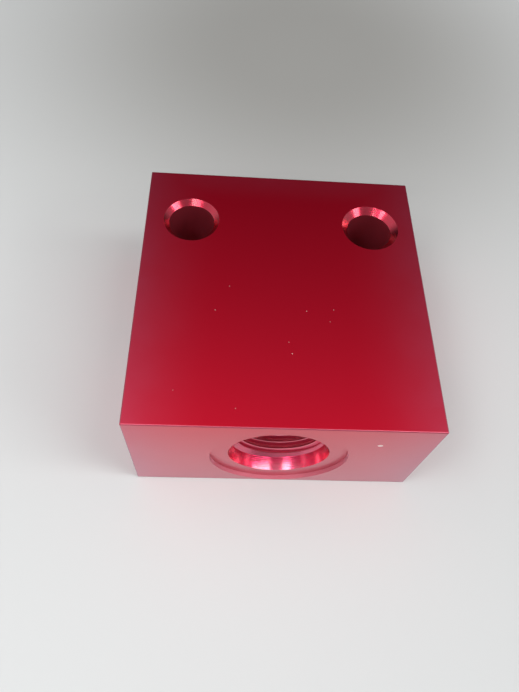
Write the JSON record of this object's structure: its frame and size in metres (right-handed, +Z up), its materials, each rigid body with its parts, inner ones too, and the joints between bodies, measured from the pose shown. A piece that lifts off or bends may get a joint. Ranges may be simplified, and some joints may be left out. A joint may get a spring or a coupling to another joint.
{
  "type": "hydraulic manifold block",
  "caption": "Rectangular aluminium valve block with a threaded cartridge cavity in the front face, side work ports and through holes for mounting bolts.",
  "frame": {"origin": "middle of the underside", "axes": "+X to the right, +Y from the face with the cartridge cavity to the back, +Z up along the mounting holes"},
  "size_m": [0.06, 0.063, 0.03],
  "materials": {
    "red_anodised_aluminium": "satin"
  },
  "bodies": {
    "root": {"manifold_block": "red_anodised_aluminium"}
  },
  "joints": []
}
